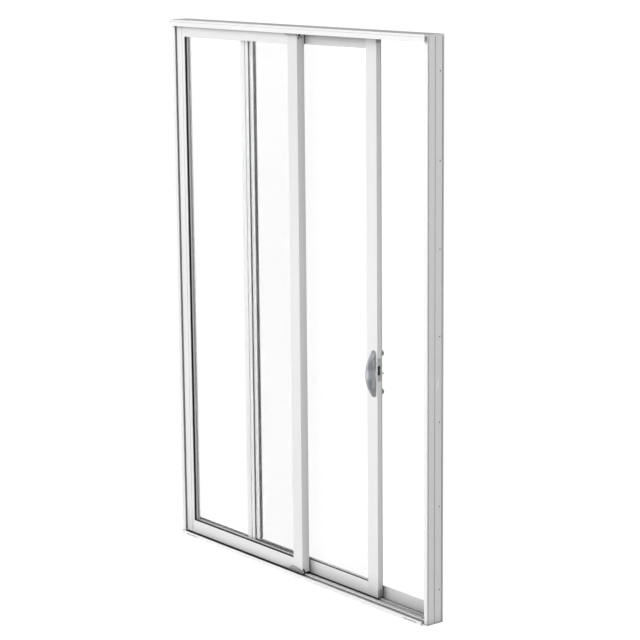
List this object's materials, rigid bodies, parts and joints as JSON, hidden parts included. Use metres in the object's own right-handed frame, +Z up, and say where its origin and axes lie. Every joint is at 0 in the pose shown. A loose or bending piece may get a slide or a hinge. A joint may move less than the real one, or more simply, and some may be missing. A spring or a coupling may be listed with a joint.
{
  "type": "glass sliding patio door",
  "caption": "White aluminium patio door with a fixed and a sliding glazed panel, sill track, pull handle and hook lock.",
  "frame": {"origin": "middle of the sill's underside, halfway along the frame's width and depth", "axes": "+X along the width, to the right seen from outside; +Y inwards, through the door; +Z up"},
  "size_m": [1.76, 0.1145, 2.438],
  "materials": {
    "white_frame": "smooth white powder coat",
    "white_panel": "smooth white powder coat",
    "glass": "clear toughened glass",
    "spacer": "satin",
    "gasket": "matte black",
    "grey_block": "translucent grey",
    "white_plastic": "matte",
    "black_plastic": "matte",
    "steel": "brushed stainless",
    "handle_metal": "satin silver"
  },
  "bodies": {
    "frame": {"sill": "white_frame", "head": "white_frame", "left_jamb": "white_frame", "right_jamb": "white_frame", "keeper_plate": "steel", "fixed_left_stile": "white_panel", "fixed_meeting_stile": "white_panel", "fixed_top_rail": "white_panel", "fixed_bottom_rail": "white_panel", "fixed_glass": "glass", "fixed_spacer": "spacer", "fixed_front_gasket": "gasket", "fixed_back_gasket": "gasket", "fixed_corner_block": "grey_block", "fixed_top_block": "white_plastic", "fixed_setting_blocks": "white_plastic"},
    "sliding_panel": {"sliding_lock_stile": "white_panel", "sliding_meeting_stile": "white_panel", "sliding_top_rail": "white_panel", "sliding_bottom_rail": "white_panel", "sliding_glass": "glass", "sliding_spacer": "spacer", "sliding_front_gasket": "gasket", "sliding_back_gasket": "gasket", "stile_top_cap": "black_plastic", "stile_bottom_cap": "black_plastic", "left_roller_wheel": "black_plastic", "right_roller_wheel": "black_plastic", "lock_faceplate": "steel", "lock_case": "steel", "left_roller_housing": "steel", "right_roller_housing": "steel", "pull_handle": "handle_metal", "back_posts": "handle_metal"},
    "thumb_turn": {"thumb_turn": "handle_metal"},
    "latch_hook": {"latch_hook": "steel"}
  },
  "joints": [
    {"name": "panel_slide", "type": "slide", "parent": "frame", "child": "sliding_panel", "axis": [1, 0, 0], "range_m": [-0.43, 0.36]},
    {"name": "thumb_swivel", "type": "hinge", "parent": "sliding_panel", "child": "thumb_turn", "pos_m": [0.484, 0.0345, 0.997], "axis": [0, -1, 0], "range_deg": [0, 90]},
    {"name": "hook_swing", "type": "hinge", "parent": "sliding_panel", "child": "latch_hook", "pos_m": [0.496, 0.0175, 1.029], "axis": [0, -1, 0], "range_deg": [0, 102]}
  ],
  "couplings": [
    {"joint": "hook_swing", "follows": "thumb_swivel", "ratio": 1.1333}
  ]
}
